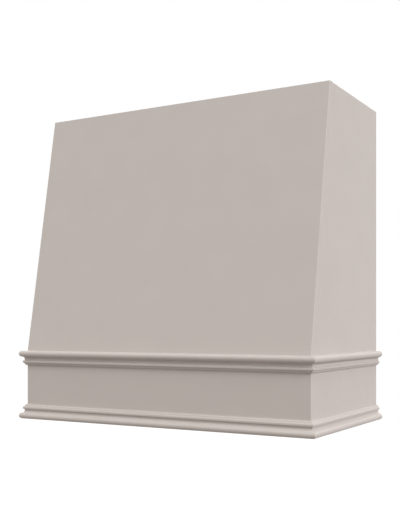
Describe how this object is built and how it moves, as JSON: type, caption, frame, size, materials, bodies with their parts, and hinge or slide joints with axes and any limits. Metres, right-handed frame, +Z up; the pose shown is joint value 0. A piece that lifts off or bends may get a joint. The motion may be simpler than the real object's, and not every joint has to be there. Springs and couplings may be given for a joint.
{
  "type": "range hood cover",
  "caption": "Painted wooden cover with a sloping front, an apron between two mouldings and an open back and top, which hangs over a cooker hood's liner on a wall cleat.",
  "frame": {"origin": "on the wall plane, at the centre of the wall cleat's screw pattern", "axes": "+X to the right along the front as seen from the room, +Y into the wall, +Z up"},
  "size_m": [0.9514, 0.5202, 0.9144],
  "materials": {
    "paint": "satin warm grey paint on plywood panels and hardwood mouldings",
    "plywood": "bare sanded birch plywood",
    "poplar": "bare planed poplar",
    "screw": "zinc-plated steel"
  },
  "bodies": {
    "wall_mount": {"wall_cleat": "plywood"},
    "cover": {"front_panel": "paint", "apron_board": "paint", "side_panel_left": "paint", "side_panel_right": "paint", "upper_moulding_front": "paint", "upper_moulding_left": "paint", "upper_moulding_right": "paint", "lower_moulding_front": "paint", "lower_moulding_left": "paint", "lower_moulding_right": "paint", "liner_shelf": "paint", "hanging_rail": "plywood", "lower_rear_rail": "plywood", "top_front_rail": "plywood", "knuckle_rail": "poplar", "shelf_cleat_front": "poplar", "shelf_cleat_left": "poplar", "shelf_cleat_right": "poplar", "corner_cleat_left": "poplar", "corner_cleat_right": "poplar", "apron_corner_block_left": "poplar", "apron_corner_block_right": "poplar", "moulding_screws": "screw", "knuckle_rail_screws": "screw", "shelf_screws": "screw", "shelf_cleat_screws": "screw", "side_panel_screws": "screw", "front_panel_screws": "screw", "pocket_screws": "screw"}
  },
  "joints": [
    {"name": "lift_off_cleat", "type": "slide", "parent": "wall_mount", "child": "cover", "axis": [0, 0, 1], "range_m": [0, 0.025]}
  ]
}
